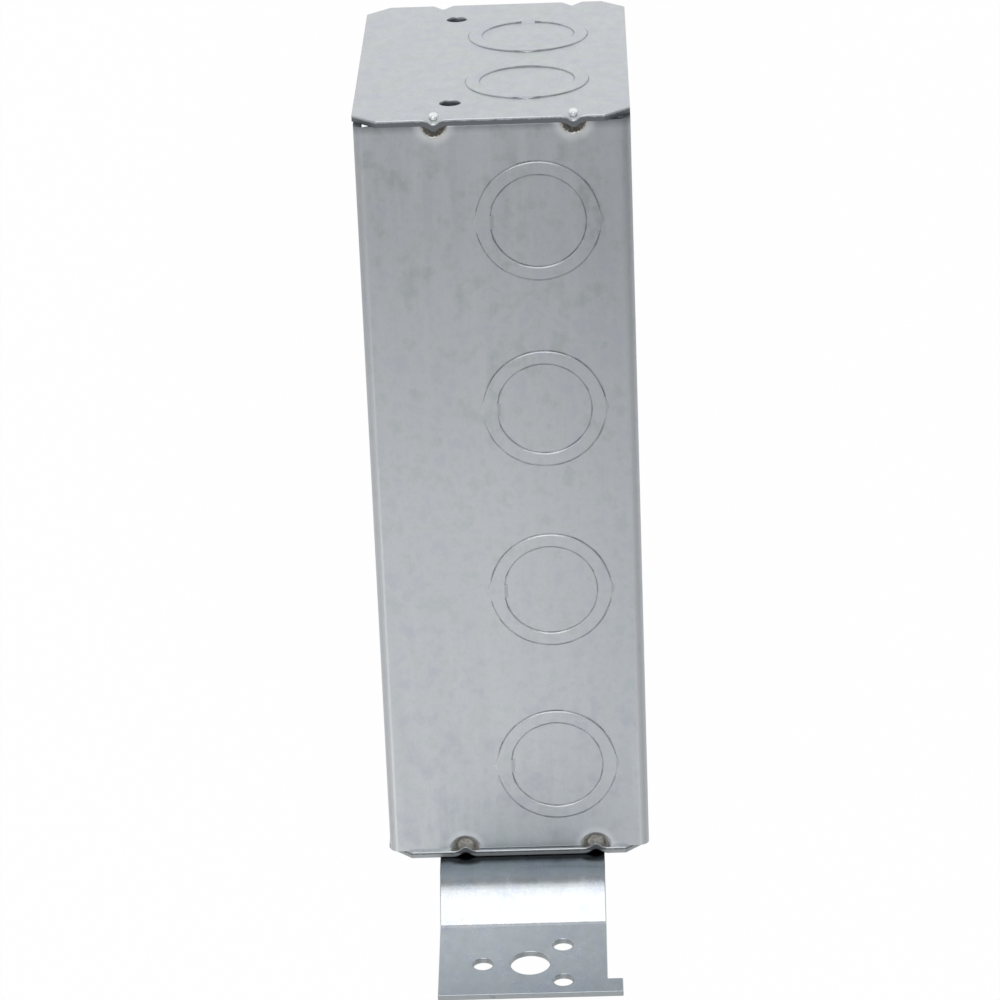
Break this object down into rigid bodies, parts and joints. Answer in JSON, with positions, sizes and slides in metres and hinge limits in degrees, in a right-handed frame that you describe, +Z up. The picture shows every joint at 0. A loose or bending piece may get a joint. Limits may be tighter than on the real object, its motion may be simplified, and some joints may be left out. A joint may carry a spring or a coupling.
{
  "type": "masonry box",
  "caption": "Long welded sheet-steel box for a row of wiring devices set in block walls, open at the front, with concentric knockouts and an offset stud bracket on one end.",
  "frame": {"origin": "centre of the pattern of device screws, in the plane of the lips at the open front", "axes": "+X along the row of devices towards the end with the bracket, +Y from the open front into the wall, +Z up, the way the bracket's flange stands"},
  "size_m": [0.2021, 0.0635, 0.1407],
  "materials": {
    "galvanised_sheet": "galvanised, dull, with a faint mottle",
    "galvanised_strap": "galvanised, smoother and brighter than the body"
  },
  "bodies": {
    "root": {"folded_body": "galvanised_sheet", "end_plate_left": "galvanised_sheet", "end_plate_right": "galvanised_sheet", "stud_bracket": "galvanised_strap"}
  },
  "joints": []
}
